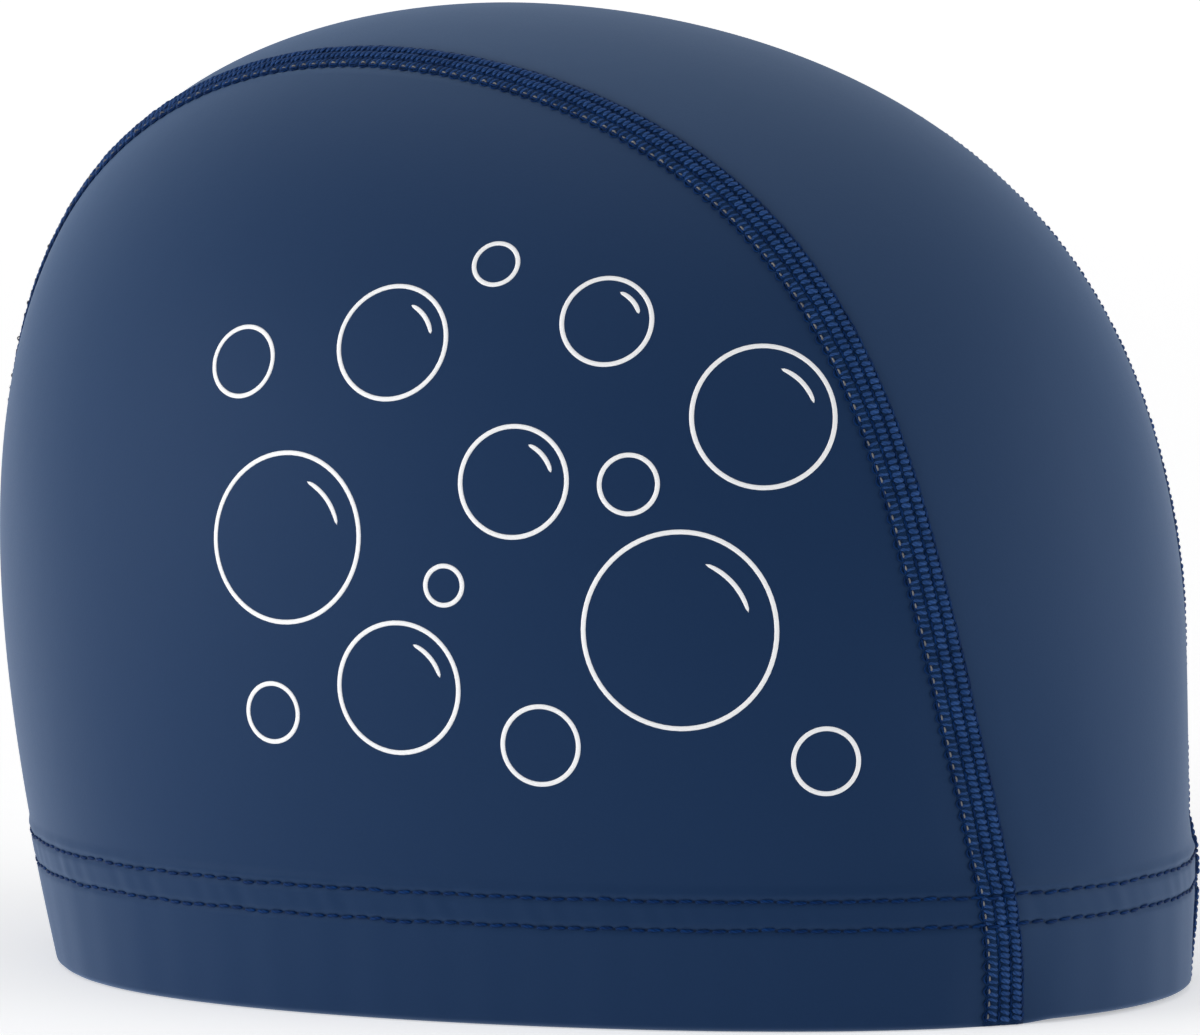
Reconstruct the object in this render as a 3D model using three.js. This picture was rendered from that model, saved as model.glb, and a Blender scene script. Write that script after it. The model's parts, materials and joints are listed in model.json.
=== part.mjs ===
// A swim cap sewn from three panels of coated stretch cloth: a centre strip from forehead to nape
// and a panel on each side, joined by two flat cover-stitched seams, with a turned-up hem at the rim.
// Millimetres, +Z up. The cap stands on its rim. The forehead faces -Y and the wearer's right is -X.
import * as THREE from "three";
import { mergeVertices } from "three/addons/utils/BufferGeometryUtils.js";

// Size of the cap, over the outer face of the cloth
const capHeight = 150; // rim to crown
const rimLength = 188.5; // forehead to nape at the rim
const widestStation = 115.5; // forehead to the widest place, at the rim
const rimWidth = 142;

// Cloth and hem
const cloth = 1; // one layer
const hemHeight = 21.5; // how far the hem is turned up inside
const hemBevel = 0.5; // slope on the cut edge of the turned-up layer
const rimRoll = 0.5; // rounding of the fold that the cap stands on

// Centre strip and seams
const stripWidth = 59.5; // from seam line to seam line at the crown
const ribbonWidth = 6.2; // band of cover stitches over each joint
const ribbonThickness = 0.5;
const threadWeb = 0.4; // needle threads that pass between the butted panels
const clearance = 0.3; // between pieces that touch

// How finely each surface is divided
const archSteps = 30; // along a seam, between the two ends of the hem
const sideRows = 8; // from the hem to the seam on a side panel
const stripColumns = 6;

// Fullness of the outline from rim to crown, as shares of its reach at the rim. An ellipse keeps
// 1 all the way up.
const sections = [
  { level: 0, front: 1, back: 1, side: 1 },
  { level: 0.25, front: 1.03, back: 1.155, side: 1.08 },
  { level: 0.5, front: 1.11, back: 1.34, side: 1.19 },
  { level: 0.75, front: 1.235, back: 1.585, side: 1.32 },
  { level: 1, front: 1.39, back: 1.93, side: 1.48 },
];

// The seam lines' distance from the middle of the cap, as shares of half the strip's width. A turn
// of 0 degrees is the forehead rim, 90 straight up and 180 the nape rim.
const seamStations = [
  { degrees: 0, spread: 0.925 },
  { degrees: 30, spread: 1.175 },
  { degrees: 60, spread: 1.18 },
  { degrees: 90, spread: 1 },
  { degrees: 120, spread: 0.86 },
  { degrees: 150, spread: 0.935 },
  { degrees: 180, spread: 0.88 },
];

// Sizes that follow from the ones above
const hemWall = 2 * cloth;
const hemTop = hemHeight + hemBevel;
const edgeGap = threadWeb / 2 + clearance; // from a seam line to the edge of a panel
const shoulder = ribbonWidth / 2; // from a seam line to the edge of its band
const seamRows = seamStations.map(({ degrees, spread }) => ({
  cosine: Math.cos(THREE.MathUtils.degToRad(degrees)),
  spread,
}));
const searchReach = rimLength + capHeight; // farther from the rim's middle than any cloth
const searchSteps = 50;
const smallStep = 1e-3; // for slopes

// The value of one smooth curve through all rows of a table.
function through(rows, at, value, x) {
  return rows.reduce((sum, row) => {
    const others = rows.filter((other) => other !== row);
    const weight = others.reduce((w, other) => (w * (x - other[at])) / (row[at] - other[at]), 1);
    return sum + weight * row[value];
  }, 0);
}

// The value between low and high where a rising test turns from true to false.
function search(low, high, stillBelow) {
  let below = low;
  let above = high;
  for (let step = 0; step < searchSteps; step += 1) {
    const middle = (below + above) / 2;
    if (stillBelow(middle)) below = middle;
    else above = middle;
  }
  return (below + above) / 2;
}

// The egg-shaped outline at height z: half its width, half its length, and half the difference
// between its reach behind and before the widest station.
function outline(z) {
  const level = z / capHeight;
  const round = Math.sqrt(Math.max(1 - level * level, 0));
  const front = widestStation * round * through(sections, "level", "front", level);
  const back = (rimLength - widestStation) * round * through(sections, "level", "back", level);
  const side = (rimWidth / 2) * round * through(sections, "level", "side", level);
  return { side, middle: (front + back) / 2, lean: (back - front) / 2 };
}

// The y of an outline by the sine of the angle round the head. The lean comes in smoothly: none of
// it at the widest station, all of it at the forehead and the nape.
function alongHead({ middle, lean }, sine) {
  return sine * (middle + (lean * sine * (3 - sine * sine)) / 2);
}

// A point of the outer face by its height and its angle round the head: 0 over the left ear,
// a quarter turn at the nape.
function onRing(z, angle) {
  const ring = outline(z);
  return new THREE.Vector3(ring.side * Math.cos(angle), alongHead(ring, Math.sin(angle)), z);
}

// Half the width of the cap at y and z. Outside the cap it is below zero.
function halfWidth(y, z) {
  const ring = outline(z);
  const outside = z >= capHeight || y <= alongHead(ring, -1) || y >= alongHead(ring, 1);
  if (outside) return -1;
  const sine = search(-1, 1, (share) => alongHead(ring, share) < y);
  return ring.side * Math.sqrt(1 - sine * sine);
}

// A point of the outer face by its turn from the forehead rim over the crown and its distance x
// from the middle of the cap.
function onArch(turn, x) {
  const ray = new THREE.Vector3(0, -Math.cos(turn), Math.sin(turn));
  const reach = search(0, searchReach, (r) => halfWidth(ray.y * r, ray.z * r) > Math.abs(x));
  return ray.multiplyScalar(reach).setX(x);
}

// The outward direction of a surface. By the hem it is level, so that the hem stands flat.
function outward(surface, a, b) {
  const alongA = surface(a + smallStep, b).sub(surface(a - smallStep, b));
  const alongB = surface(a, b + smallStep).sub(surface(a, b - smallStep));
  const normal = alongA.cross(alongB);
  const point = surface(a, b);
  if (point.z <= hemTop + clearance) normal.setZ(0);
  if (normal.dot(point) < 0) normal.negate();
  return normal.normalize();
}

// A place on the cloth: a point of the outer face and the outward direction there.
const spot = (surface, a, b) => ({ point: surface(a, b), normal: outward(surface, a, b) });
const raised = ({ point, normal }, height) => point.clone().addScaledVector(normal, height);

// The turn at which the seam line crosses height z near the forehead (end 0) or the nape (end 1).
function turnAt(z, end) {
  const fromEnd = (turn) => (end === 0 ? turn : Math.PI - turn);
  return fromEnd(search(0, Math.PI / 4, (turn) => seamPoint(fromEnd(turn)).z < z));
}

function seamReach(turn) {
  return (stripWidth / 2) * through(seamRows, "cosine", "spread", Math.cos(turn));
}

function seamPoint(turn) {
  return onArch(turn, seamReach(turn));
}

// The x of a point that lies beside the seam line by a distance measured over the cloth.
function besideSeam(turn, distance) {
  const x = seamReach(turn);
  const clothPerX = onArch(turn, x + 1).distanceTo(onArch(turn, x - 1)) / 2;
  return x + distance / clothPerX;
}

// The ring angle of a point on the left half of the cap.
function ringAngle(point) {
  const cosine = Math.min(point.x / outline(point.z).side, 1);
  return Math.sign(point.y) * Math.acos(cosine);
}

// The ring angle at which a line beside the seam crosses height z at one end of the seam.
function endAngle(z, end, distance) {
  const turn = turnAt(z, end);
  return ringAngle(onArch(turn, besideSeam(turn, distance)).setZ(z));
}

const between = (from, to, count) =>
  Array.from({ length: count + 1 }, (_, i) => THREE.MathUtils.lerp(from, to, i / count));

// The hem's rows from the rim up, with the depth of the inner face and the roll of the outer one
const hemRows = [
  { z: 0, depth: hemWall, roll: rimRoll },
  { z: rimRoll, depth: hemWall, roll: 0 },
  { z: hemHeight, depth: hemWall, roll: 0 },
  { z: hemTop, depth: cloth, roll: 0 },
];

// The turns that all pieces share along a seam, between the two ends of the hem
const archTurns = between(turnAt(hemTop, 0), turnAt(hemTop, 1), archSteps);

// A closed body from triangles that point all outwards or all inwards. Corners that meet are
// merged, triangles that have shrunk to a line are left out, and the faces are turned outwards.
function closedBody(corners) {
  const merged = mergeVertices(new THREE.BufferGeometry().setFromPoints(corners));
  const position = merged.getAttribute("position");
  const corner = (i) => new THREE.Vector3().fromBufferAttribute(position, i);
  const kept = [];
  let volume = 0;
  for (let i = 0; i < corners.length; i += 3) {
    const [a, b, c] = merged.index.array.slice(i, i + 3);
    if (a !== b && b !== c && c !== a) {
      kept.push([a, b, c]);
      volume += corner(a).dot(corner(b).cross(corner(c)));
    }
  }
  merged.setIndex(kept.map((face) => (volume < 0 ? face.reverse() : face)).flat());
  merged.computeVertexNormals();
  return merged;
}

const quad = (a, b, c, d) => [a, b, c, a, c, d];
const mirrored = (point, side) => point.setX(point.x * side);
const lerp = THREE.MathUtils.lerp;

// A wall of cloth through a grid of places, closed along its four edges. Each row of the grid has
// the depth of its inner face and the roll of its outer one.
function wall(rows, side) {
  const grid = rows.map(({ spots, depth, roll }) =>
    spots.map((place) => ({
      outer: mirrored(raised(place, -roll), side),
      inner: mirrored(raised(place, -depth), side),
    })),
  );
  const corners = [];
  const lastRow = grid.length - 1;
  const lastColumn = grid[0].length - 1;
  for (let r = 0; r < lastRow; r += 1) {
    for (let c = 0; c < lastColumn; c += 1) {
      const [p, q, s, t] = [grid[r][c], grid[r][c + 1], grid[r + 1][c + 1], grid[r + 1][c]];
      corners.push(...quad(p.outer, q.outer, s.outer, t.outer));
      corners.push(...quad(t.inner, s.inner, q.inner, p.inner));
    }
    const [left, leftUp] = [grid[r][0], grid[r + 1][0]];
    const [right, rightUp] = [grid[r][lastColumn], grid[r + 1][lastColumn]];
    corners.push(...quad(left.inner, left.outer, leftUp.outer, leftUp.inner));
    corners.push(...quad(right.outer, right.inner, rightUp.inner, rightUp.outer));
  }
  for (let c = 0; c < lastColumn; c += 1) {
    const [low, lowNext] = [grid[0][c], grid[0][c + 1]];
    const [top, topNext] = [grid[lastRow][c], grid[lastRow][c + 1]];
    corners.push(...quad(low.inner, lowNext.inner, lowNext.outer, low.outer));
    corners.push(...quad(top.outer, topNext.outer, topNext.inner, top.inner));
  }
  return closedBody(corners);
}

// A side panel: its columns run up from the hem to the seam. The side is 1 on the left, -1 on the
// right.
function sidePanel(side) {
  const ends = (z, distance) => [0, 1].map((end) => endAngle(z, end, distance));
  const hem = hemRows.map(({ z, depth, roll }) => {
    const [edges, shoulders] = [ends(z, edgeGap), ends(z, shoulder)];
    const angles = [edges[0], ...between(...shoulders, archSteps), edges[1]];
    return { spots: angles.map((angle) => spot(onRing, z, angle)), depth, roll };
  });
  const line = (distance) =>
    archTurns.map((turn, i) => {
      if (i % archSteps === 0) return { z: hemTop, angle: endAngle(hemTop, i / archSteps, distance) };
      const point = onArch(turn, besideSeam(turn, distance));
      return { z: point.z, angle: ringAngle(point) };
    });
  const foot = between(...ends(hemTop, shoulder), archSteps);
  const corner = ends(hemTop, edgeGap).map((angle) => spot(onRing, hemTop, angle));
  const row = (places) => ({ spots: [corner[0], ...places, corner[1]], depth: cloth, roll: 0 });
  const upper = between(0, 1, sideRows).slice(1).map((up) =>
    row(
      line(shoulder).map(({ z, angle }, i) =>
        spot(onRing, lerp(hemTop, z, up), lerp(foot[i], angle, up)),
      ),
    ),
  );
  const edge = row(line(edgeGap).map(({ z, angle }) => spot(onRing, z, angle)));
  return wall([...hem, ...upper, edge], side);
}

// The centre strip: its rows run across, from the forehead rim over the crown to the nape rim.
function centrePanel() {
  const hemAt = (end) =>
    hemRows.map(({ z, depth, roll }) => {
      const left = [-shoulder, -edgeGap].map((distance) => endAngle(z, end, distance));
      const right = left.map((angle) => Math.sign(angle) * Math.PI - angle);
      const angles = [right[1], ...between(right[0], left[0], stripColumns), left[1]];
      return { spots: angles.map((angle) => spot(onRing, z, angle)), depth, roll };
    });
  const arch = archTurns.slice(1, -1).map((turn) => {
    const [inner, outer] = [-shoulder, -edgeGap].map((distance) => besideSeam(turn, distance));
    const places = [-outer, ...between(-inner, inner, stripColumns), outer];
    return { spots: places.map((x) => spot(onArch, turn, x)), depth: cloth, roll: 0 };
  });
  return wall([...hemAt(0), ...arch, ...hemAt(1).reverse()], 1);
}

// The seam's section, as distances across the seam and out from the cloth's outer face: a band of
// cover stitches outside, one inside, and the needle threads between them.
function seamSection(depth) {
  const needle = threadWeb / 2;
  const below = -depth - clearance;
  const half = [
    [shoulder, clearance + ribbonThickness],
    [shoulder, clearance],
    [needle, clearance],
    [needle, below],
    [shoulder, below],
    [shoulder, below - ribbonThickness],
  ];
  return [...half.map(([distance, height]) => [-distance, height]), ...half.reverse()];
}

// A seam: its section carried along the seam line, deeper where the hem doubles the cloth.
function seam(side) {
  const hemEnds = [
    { z: clearance, depth: hemWall },
    { z: hemHeight + clearance, depth: hemWall },
    { z: hemTop + clearance, depth: cloth },
  ];
  const stationsAt = (end) =>
    hemEnds.map(({ z, depth }) => ({ depth, beside: (d) => spot(onRing, z, endAngle(z, end, d)) }));
  const archStations = archTurns.slice(1, -1).map((turn) => ({
    depth: cloth,
    beside: (d) => spot(onArch, turn, besideSeam(turn, d)),
  }));
  const stations = [...stationsAt(0), ...archStations, ...stationsAt(1).reverse()];
  const rings = stations.map(({ depth, beside }) =>
    seamSection(depth).map(([distance, height]) => mirrored(raised(beside(distance), height), side)),
  );
  const corners = [];
  for (let r = 0; r < rings.length - 1; r += 1) {
    rings[r].forEach((point, i) => {
      const next = (i + 1) % rings[r].length;
      corners.push(...quad(point, rings[r][next], rings[r + 1][next], rings[r + 1][i]));
    });
  }
  const outlinePoints = seamSection(hemWall).map((pair) => new THREE.Vector2(...pair));
  THREE.ShapeUtils.triangulateShape(outlinePoints, []).forEach(([a, b, c]) => {
    const [first, last] = [rings[0], rings[rings.length - 1]];
    corners.push(first[c], first[b], first[a], last[a], last[b], last[c]);
  });
  return closedBody(corners);
}

const coatedCloth = { color: 0x2c4368, roughness: 0.5, metalness: 0 };
const seamThread = { color: 0x25427c, roughness: 0.7, metalness: 0 };

function piece(name, geometry, finish) {
  const mesh = new THREE.Mesh(geometry, new THREE.MeshStandardMaterial(finish));
  mesh.name = name;
  return mesh;
}

const cap = new THREE.Group();
cap.add(
  piece("centre_panel", centrePanel(), coatedCloth),
  piece("side_panel_right", sidePanel(-1), coatedCloth),
  piece("side_panel_left", sidePanel(1), coatedCloth),
  piece("seam_right", seam(-1), seamThread),
  piece("seam_left", seam(1), seamThread),
);

// The origin lies under the middle of the cap's length.
const extent = new THREE.Box3().setFromObject(cap);
cap.position.y = -(extent.min.y + extent.max.y) / 2;

const root = new THREE.Group();
root.add(cap);

export default root;
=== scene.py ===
# %% [markdown]
# # A sewn swim cap, step by step
# The object is a swim cap of coated stretch cloth: a centre strip from forehead to nape, a panel on
# each side, two flat seams covered with thread, and a turned-up hem. A CAD model gives the true
# size of each panel and seam. Here each one gets the look of the real material. Every surface is
# worked out with numpy from a formula, because sewn goods follow smooth curves that are hard to
# push into place by hand.

import json
import math

import bpy
import numpy as np
from mathutils import Matrix, Vector

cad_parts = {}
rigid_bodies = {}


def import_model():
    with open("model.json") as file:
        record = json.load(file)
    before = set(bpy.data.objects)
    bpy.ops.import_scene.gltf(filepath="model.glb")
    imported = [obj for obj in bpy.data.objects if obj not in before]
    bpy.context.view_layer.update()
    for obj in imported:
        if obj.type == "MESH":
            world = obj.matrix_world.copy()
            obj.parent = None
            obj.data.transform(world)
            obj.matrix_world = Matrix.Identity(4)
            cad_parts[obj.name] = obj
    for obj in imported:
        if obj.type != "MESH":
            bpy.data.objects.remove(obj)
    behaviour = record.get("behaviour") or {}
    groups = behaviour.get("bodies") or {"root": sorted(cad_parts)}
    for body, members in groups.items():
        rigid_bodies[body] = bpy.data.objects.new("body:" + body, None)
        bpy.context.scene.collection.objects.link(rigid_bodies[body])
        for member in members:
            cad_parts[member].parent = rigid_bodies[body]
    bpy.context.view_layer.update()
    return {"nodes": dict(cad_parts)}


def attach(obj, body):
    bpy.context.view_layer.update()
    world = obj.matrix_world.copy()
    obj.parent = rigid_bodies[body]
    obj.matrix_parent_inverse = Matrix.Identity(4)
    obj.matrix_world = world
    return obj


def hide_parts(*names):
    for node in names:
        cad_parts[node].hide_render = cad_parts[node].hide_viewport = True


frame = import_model()
print("CAD nodes:", sorted(frame["nodes"]))

# %% [markdown]
# ## The shape of the cap
# A swim cap takes the shape of the head that fills it. Seen from above, that is an egg: broad over
# the ears and narrower at the forehead. Seen from the side, it is a dome whose wall stands almost
# straight up from the rim. One way to make it is to sculpt a sphere. Here it is a stack of
# egg-shaped rings instead, because a formula gives the same surface to the panels, the seams, the
# stitches and the print, so that all of them lie on each other exactly.

# %% Sizes of the cap, in metres
MM = 0.001
CAP_HEIGHT = 150 * MM
RIM_FRONT = 115.5 * MM  # forehead to the widest place, at the rim
RIM_BACK = 73 * MM  # widest place to the nape
RIM_SIDE = 71 * MM  # half the width at the rim
CLOTH = 1 * MM
HEM_HEIGHT = 21.5 * MM

# Fullness at five levels from the rim to the crown, as shares of the reach at the rim. An ellipse
# keeps 1 all the way up.
LEVELS = [0, 0.25, 0.5, 0.75, 1]
FRONT_FULLNESS = [1, 1.03, 1.11, 1.235, 1.39]
BACK_FULLNESS = [1, 1.155, 1.34, 1.585, 1.93]
SIDE_FULLNESS = [1, 1.08, 1.19, 1.32, 1.48]

# The seam line's distance from the middle of the cap, by the turn from the forehead rim over the
# crown to the nape rim.
HALF_STRIP = 29.75 * MM
SEAM_DEGREES = [0, 30, 60, 90, 120, 150, 180]
SEAM_SPREAD = [0.925, 1.175, 1.18, 1, 0.86, 0.935, 0.88]


def smooth_through(places, values):
    """The one polynomial that passes through every value at its place."""
    return np.polynomial.Polynomial.fit(places, values, len(places) - 1)


FULLNESS = [smooth_through(LEVELS, row) for row in (SIDE_FULLNESS, FRONT_FULLNESS, BACK_FULLNESS)]
SPREAD_BY_COSINE = smooth_through(np.cos(np.radians(SEAM_DEGREES)), SEAM_SPREAD)


def reaches(z):
    """Reach of the ring at height z to the side, forward and back: the reach at the rim, times the
    square root of one less the level squared, times the fullness at that level."""
    level = np.clip(z / CAP_HEIGHT, 0, 1)
    rounding = np.sqrt(1 - level**2)
    at_rim = (RIM_SIDE, RIM_FRONT, RIM_BACK)
    return [reach * rounding * share(level) for reach, share in zip(at_rim, FULLNESS)]


# The CAD frame has its origin under the middle of the cap's length.
_, front_reach, back_reach = reaches(np.linspace(0, CAP_HEIGHT, 2001))
Y_SHIFT = (front_reach.max() - back_reach.max()) / 2


def on_ring(z, angle):
    """The point at height z and at an angle round the head, from the left ear towards the nape:
    x is the side reach times the cosine, and y grows with the sine, with a lean that comes in
    smoothly and is whole at the forehead and the nape."""
    side, front, back = reaches(z)
    sine = np.sin(angle)
    lean = (back - front) / 2
    y = sine * ((back + front) / 2 + lean * sine * (3 - sine**2) / 2)
    x, y, z = np.broadcast_arrays(side * np.cos(angle), y + Y_SHIFT, z)
    return np.stack([x, y, z], axis=-1)


def ring_sine(y, z):
    """The sine of the angle at which the ring at height z has that y, by eight steps of Newton's
    rule: each takes off what is still wrong, divided by the slope."""
    _, front, back = reaches(z)
    middle, lean = (back + front) / 2, (back - front) / 2
    y = np.clip(y - Y_SHIFT, -front, back)
    sine = np.where(y > 0, y / np.maximum(back, MM / 1000), y / np.maximum(front, MM / 1000))
    for _ in range(8):
        wrong = sine * (middle + lean * sine * (3 - sine**2) / 2) - y
        slope = middle + lean * (3 * sine - 2 * sine**3)
        sine = np.clip(sine - wrong / np.maximum(slope, MM / 1000), -1, 1)
    return sine


def half_width(y, z):
    """Half the width of the cap at y and z, or a number below zero outside it."""
    side, front, back = reaches(z)
    inside = (z < CAP_HEIGHT) & (y - Y_SHIFT > -front) & (y - Y_SHIFT < back)
    return np.where(inside, side * np.sqrt(1 - ring_sine(y, z) ** 2), -MM)


def on_arch(turn, x):
    """The point at a turn from the forehead rim over the crown and at x from the middle. The ray
    at that turn is halved forty times to find where the cap has just that half width."""
    turn, x = np.broadcast_arrays(turn, x)
    low, high = np.zeros(turn.shape), np.full(turn.shape, 2 * CAP_HEIGHT)
    for _ in range(40):
        reach = (low + high) / 2
        inside = half_width(Y_SHIFT - np.cos(turn) * reach, np.sin(turn) * reach) > np.abs(x)
        low, high = np.where(inside, reach, low), np.where(inside, high, reach)
    return np.stack([x, Y_SHIFT - np.cos(turn) * low, np.sin(turn) * low], axis=-1)


def unit(vectors):
    """The same vectors, each divided by its length, so that it is 1 long."""
    return vectors / np.maximum(np.linalg.norm(vectors, axis=-1, keepdims=True), 1e-12)


STEP = 0.05 * MM  # how far apart two values lie whose difference gives a slope


def outward(points):
    """The outward direction at points of the surface: the slope of x squared over the side reach
    squared plus the sine squared, each times the rounding, plus the level squared."""

    def fill(x, y, z):
        level = np.clip(z / CAP_HEIGHT, 0, 1)
        rounding = np.sqrt(1 - level**2)
        wide = RIM_SIDE * FULLNESS[0](level)
        return (x / wide) ** 2 + (rounding * ring_sine(y, z)) ** 2 + level**2

    x, y, z = np.moveaxis(points, -1, 0)
    z = np.clip(z, 2 * STEP, CAP_HEIGHT - 2 * STEP)
    slopes = [
        fill(x + STEP, y, z) - fill(x - STEP, y, z),
        fill(x, y + STEP, z) - fill(x, y - STEP, z),
        fill(x, y, z + STEP) - fill(x, y, z - STEP),
    ]
    return unit(np.stack(slopes, axis=-1))


print("Outline at the rim, widest:", on_ring(0 * MM, 0.0), "shift of y:", round(Y_SHIFT, 5))

# %% [markdown]
# ## The seam lines
# Each seam runs from the rim at the forehead, over the top, to the rim at the nape. Everything
# near it is placed by two numbers: how far along the seam it is, and how far to the side of it.
# A closely spaced table of the line, read by interpolation, makes both quick to look up. It stops
# a hair short of both rims, where the cap has no height.

# %% The seam line and the lines beside it
TURN_GAP = 0.0005
TURNS = np.linspace(TURN_GAP, np.pi - TURN_GAP, 3001)
SEAM_X = HALF_STRIP * SPREAD_BY_COSINE(np.cos(TURNS))
spread = on_arch(TURNS, SEAM_X + MM) - on_arch(TURNS, SEAM_X - MM)
CLOTH_PER_X = np.linalg.norm(spread, axis=-1) / (2 * MM)


def beside_seam(distance):
    """The line at a distance from the left seam, over the cloth: x grows by the distance divided
    by how much cloth one unit of x takes up there."""
    return on_arch(TURNS, SEAM_X + distance / CLOTH_PER_X)


def turn_of(points):
    """The turn at which points lie, from the forehead rim over the crown to the nape rim."""
    return np.arctan2(points[..., 2], Y_SHIFT - points[..., 1])


def from_seam(points):
    """How far points lie from the nearest seam, over the cloth: how much further out they are in
    x, times the cloth that one unit of x takes up at their turn."""
    turn = turn_of(points)
    further = np.abs(points[..., 0]) - np.interp(turn, TURNS, SEAM_X)
    return np.abs(further) * np.interp(turn, TURNS, CLOTH_PER_X)


def ring_angle(points):
    """The angle round the head of points on the left half."""
    side, _, _ = reaches(points[..., 2])
    return np.sign(points[..., 1] - Y_SHIFT) * np.arccos(np.clip(points[..., 0] / side, -1, 1))


def end_angles(line, z):
    """The angles at which a line beside the seam crosses the heights z, at the forehead and the
    nape."""
    front, back = line[: len(line) // 4], line[::-1][: len(line) // 4]
    return [np.interp(z, end[:, 2], ring_angle(end)) for end in (front, back)]


def turns_at(line, z):
    """The turns at which a line beside the seam crosses the height z, at both ends."""
    front, back = slice(0, len(line) // 4), slice(len(line) - 1, -len(line) // 4, -1)
    return [np.interp(z, line[end, 2], TURNS[end]) for end in (front, back)]


seam_line = beside_seam(0)
seam_run = np.concatenate([[0], np.cumsum(np.linalg.norm(np.diff(seam_line, axis=0), axis=1))])
print("Seam length:", round(seam_run[-1] / MM), "mm")

# %% [markdown]
# ## From arrays to meshes
# Blender can add points and faces one by one, which is slow for the thousands that cloth and thread
# need. Here each shape is first a whole array of points, and goes into its mesh in one step. Rows
# of points that fall on one spot, such as the tip of a thread, are merged afterwards.

# %% Helpers that make a piece from its points
import bmesh

MERGE = 0.001 * MM


def grid_faces(rows, columns):
    """The corner numbers of the squares of a grid with that many rows and columns of points."""
    corner = np.arange(rows * columns).reshape(rows, columns)
    squares = [corner[:-1, :-1], corner[:-1, 1:], corner[1:, 1:], corner[1:, :-1]]
    return np.stack(squares, axis=-1).reshape(-1, 4)


def facing_out(points, faces):
    """The same faces, turned round if the volume that they enclose comes out below zero."""
    a, b, c, d = (points[faces[:, i]] for i in range(4))
    volume = np.sum(a * (np.cross(b, c) + np.cross(c, d)))
    return faces if volume > 0 else faces[:, ::-1]


def new_piece(name, slot, material, points, faces, **attributes):
    """A closed piece of the cap from an array of points and one of four-cornered faces. Each
    attribute is one number per point, for its material to read."""
    points = points.reshape(-1, 3)
    faces = facing_out(points, faces)
    mesh = bpy.data.meshes.new(name)
    mesh.vertices.add(len(points))
    mesh.vertices.foreach_set("co", points.astype(np.float32).ravel())
    mesh.loops.add(faces.size)
    mesh.loops.foreach_set("vertex_index", faces.astype(np.int32).ravel())
    mesh.polygons.add(len(faces))
    mesh.polygons.foreach_set("loop_start", np.arange(0, faces.size, 4, dtype=np.int32))
    mesh.update(calc_edges=True)
    for key, values in attributes.items():
        layer = mesh.attributes.new(key, "FLOAT", "POINT")
        layer.data.foreach_set("value", values.astype(np.float32).ravel())
    merged = bmesh.new()
    merged.from_mesh(mesh)
    bmesh.ops.remove_doubles(merged, verts=merged.verts, dist=MERGE)
    merged.to_mesh(mesh)
    merged.free()
    mesh.shade_smooth()
    mesh.materials.append(material)
    piece = bpy.data.objects.new(name, mesh)
    bpy.context.scene.collection.objects.link(piece)
    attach(piece, "root")
    print(f"{name}: {len(mesh.polygons)} faces")
    return piece


def threads(paths, up, width, height, sides=8, ring=False):
    """Many short threads at once. Each path is a row of points, and each section is an ellipse
    across it: the width times a cosine to the side plus the height times a sine along 'up', all
    shrunk at both ends by the square root of one less a fourth power, which rounds them off. A
    ring has no ends: its path runs a step past its start on both sides, to give the direction."""
    along = unit(np.gradient(paths, axis=1))
    if ring:
        paths, up, along = (rows[:, 1:-1] for rows in (paths, up, along))
    count, steps = paths.shape[:2]
    across = unit(np.cross(along, up))
    up = np.cross(across, along)
    turn = np.linspace(-np.pi / 2, 3 * np.pi / 2, sides + 1)[:, None]
    taper = 1 if ring else np.sqrt(1 - np.linspace(-1, 1, steps) ** 4)[None, :, None]
    width = np.broadcast_to(width, (count, steps))[..., None] * taper / 2
    height = np.broadcast_to(height, (count, steps))[..., None] * taper / 2
    points = (
        paths[:, :, None]
        + (width * across)[:, :, None] * np.cos(turn)
        + (height * up)[:, :, None] * np.sin(turn)
    )
    one = grid_faces(steps, sides + 1)
    start = np.arange(count) * steps * (sides + 1)
    lengths = np.linalg.norm(np.diff(paths, axis=1), axis=-1).cumsum(axis=1)
    lengths = np.concatenate([np.zeros((count, 1)), lengths], axis=1)[..., None]
    shape = points.shape[:3]
    marks = dict(
        along_thread=np.broadcast_to(lengths, shape),
        round_thread=np.broadcast_to(np.linspace(0, 1, sides + 1), shape),
    )
    return points, (start[:, None, None] + one).reshape(-1, 4), marks

# %% [markdown]
# ## The cloth
# The cap's cloth is knitted from fine stretch yarn and coated, so it looks like smooth satin rather
# than a weave. A flat colour would look like plastic. Three things make it cloth: a coat of fine
# grain, colour that wanders a little over the panels, and light that catches the yarn at a grazing
# angle, which is what sheen is for. The centre strip is cut another way of the knit and catches
# more light than the sides, so it has the same recipe with a wider haze. Near the rim the needles
# leave a hole at the end of each stitch, and its shade is painted on as a small dark spot, placed
# with numbers that the mesh carries.

# %% A helper for materials and the coated cloth
RIM_STITCH = 2.5 * MM
NEEDLE_ROWS = [20.3 * MM, 15.8 * MM]
HOLE_RIM, HOLE_EDGE = 0.12 * MM, 0.36 * MM  # where a needle hole starts to fade and where it ends
BLUISH = (0.42, 0.63, 1, 1)  # what the yarn's dye does to the light that glances off it


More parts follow.
